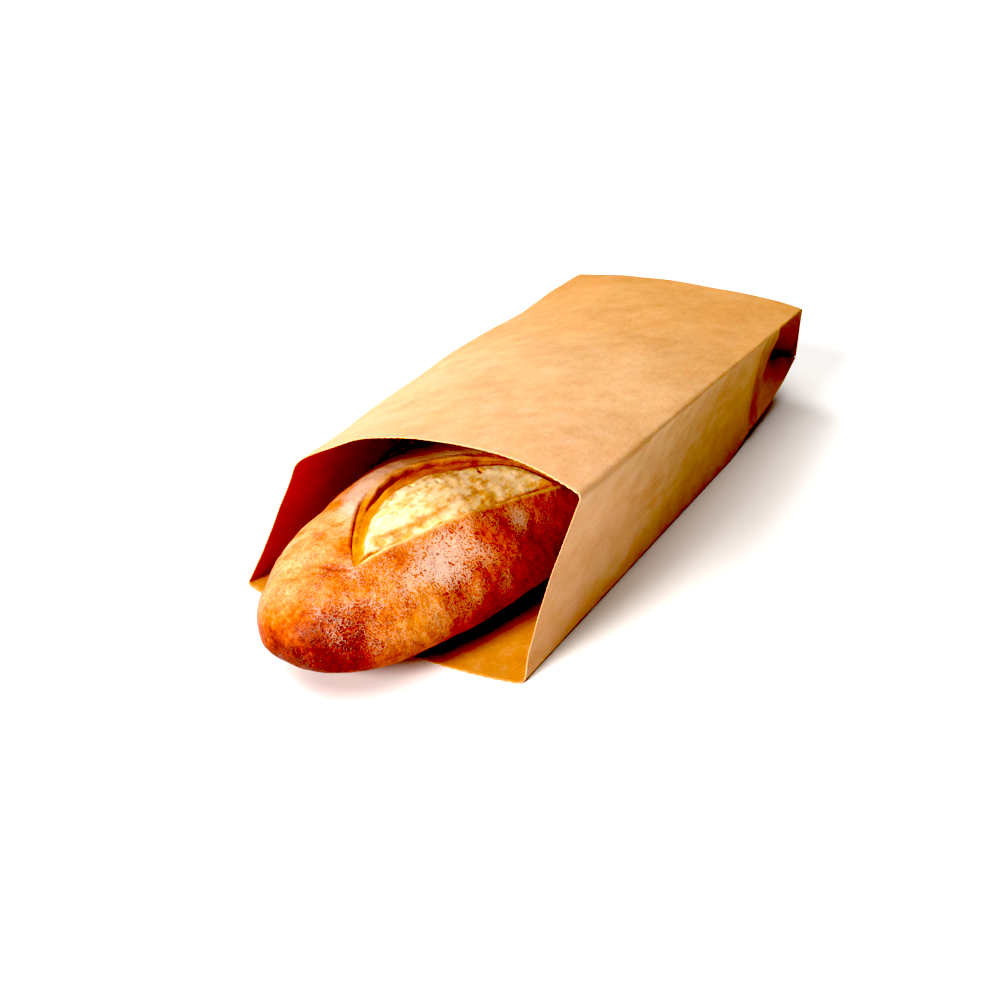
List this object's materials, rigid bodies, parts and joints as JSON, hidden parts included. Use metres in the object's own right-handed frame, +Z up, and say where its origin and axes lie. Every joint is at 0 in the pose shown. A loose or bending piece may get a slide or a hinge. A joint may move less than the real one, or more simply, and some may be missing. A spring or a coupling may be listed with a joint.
{
  "type": "baguette in a paper bag",
  "caption": "Short, broad crusty loaf with a cut-open top, lying in a gusseted kraft paper bag whose mouth is open and whose rear end is folded and glued.",
  "frame": {"origin": "middle of the underside of the box around the loaf and its bag, on the surface that the bag lies on", "axes": "+Y from the open mouth and the loaf's front end to the bag's folded rear end, +X to the right of that, +Z up"},
  "size_m": [0.16, 0.3828, 0.0908],
  "materials": {
    "crust": "baked wheat crust, matt with a slight sheen where it is darkest, dusted with flour, and an open pale crumb in the cut",
    "kraft_paper": "unbleached brown kraft paper, matt, folded and glued"
  },
  "bodies": {
    "root": {"loaf": "crust", "paper_bag": "kraft_paper"}
  },
  "joints": []
}
